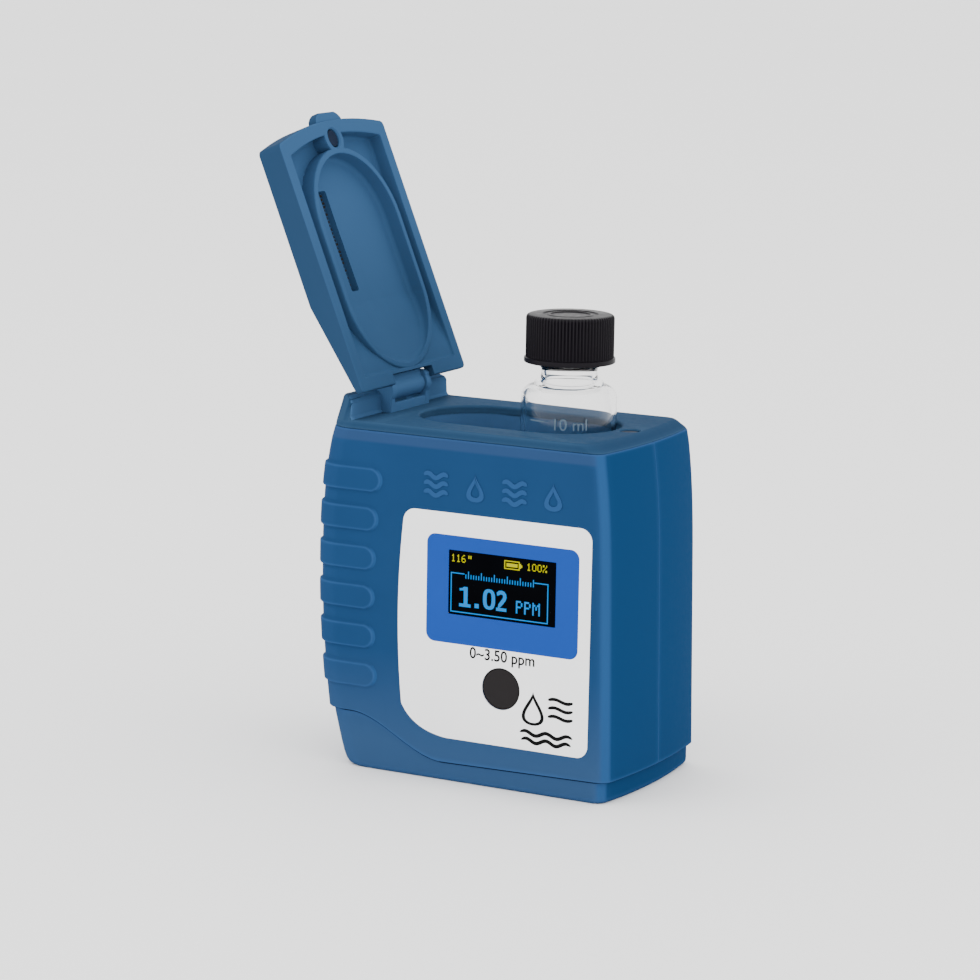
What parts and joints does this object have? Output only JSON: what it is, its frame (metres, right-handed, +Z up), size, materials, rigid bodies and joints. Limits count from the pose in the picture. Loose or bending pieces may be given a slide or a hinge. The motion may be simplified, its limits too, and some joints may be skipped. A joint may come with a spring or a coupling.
{
  "type": "digital water tester",
  "caption": "Handheld water tester: blue case with grip ribs, small display and button, hinged light lid, and a screw-capped glass sample vial in its chamber.",
  "frame": {"origin": "middle of the flat bottom of the base cap", "axes": "+X to the right seen from the display side, +Y to the rear, +Z up"},
  "size_m": [0.0828, 0.0418, 0.1293],
  "materials": {
    "case_blue": "satin moulded",
    "head_blue": "satin moulded",
    "label": "printed film",
    "clear": "clear",
    "screen": "gloss",
    "button": "satin",
    "black": "moulded",
    "cap": "ribbed",
    "steel": "plated",
    "nickel": "nickel plated",
    "board": "solder mask",
    "rubber": "moulded",
    "liner": "foam",
    "lens": "clear green",
    "cell": "printed sleeve"
  },
  "bodies": {
    "case": {"front_shell": "case_blue", "rear_shell": "case_blue", "base_cap": "case_blue", "head": "head_blue", "head_seal": "rubber", "chamber": "black", "vial_wiper": "rubber", "led_window": "clear", "sensor_window": "clear", "led": "lens", "photodiode": "nickel", "led_board": "board", "sensor_board": "board", "head_magnet": "steel", "hinge_pin": "steel", "face_label": "label", "display_window": "clear", "display_panel": "screen", "display_board": "board", "main_board": "board", "button_switch": "black", "battery_1": "cell", "battery_2": "cell", "contact_spring_1": "nickel", "contact_spring_2": "nickel", "contact_plate": "nickel", "base_screw_1": "steel", "base_screw_2": "steel", "base_screw_3": "steel", "base_screw_4": "steel", "case_screw_1": "steel", "case_screw_2": "steel"},
    "lid": {"lid": "head_blue", "lid_magnet": "steel", "lid_strip": "rubber"},
    "vial": {"vial": "clear"},
    "cap_carrier": {"cap_liner": "liner"},
    "cap": {"vial_cap": "cap"},
    "button": {"button": "button"},
    "door": {"battery_door": "case_blue", "door_screw": "steel"}
  },
  "joints": [
    {"name": "lid_hinge", "type": "hinge", "parent": "case", "child": "lid", "pos_m": [-0.0288, 0, 0.0748], "axis": [0, 1, 0], "range_deg": [0, 112.4]},
    {"name": "vial_lift", "type": "slide", "parent": "case", "child": "vial", "axis": [0, 0, 1], "range_m": [-0.02242, 0]},
    {"name": "cap_lift", "type": "slide", "parent": "vial", "child": "cap_carrier", "axis": [0, 0, 1], "range_m": [0, 0.00312]},
    {"name": "cap_turn", "type": "hinge", "parent": "cap_carrier", "child": "cap", "pos_m": [0.0096, 0, 0.0832], "axis": [0, 0, 1], "range_deg": [0, 450]},
    {"name": "button_press", "type": "slide", "parent": "case", "child": "button", "axis": [0, 1, 0], "range_m": [0, 0.0006], "stiffness_N_per_m": 1200},
    {"name": "door_pull", "type": "slide", "parent": "case", "child": "door", "axis": [0, 1, 0], "range_m": [0, 0.012]}
  ],
  "couplings": [
    {"joint": "vial_lift", "follows": "lid_hinge", "m_per_rad": -0.011418},
    {"joint": "cap_turn", "follows": "cap_lift", "rad_per_m": 2513.3}
  ]
}
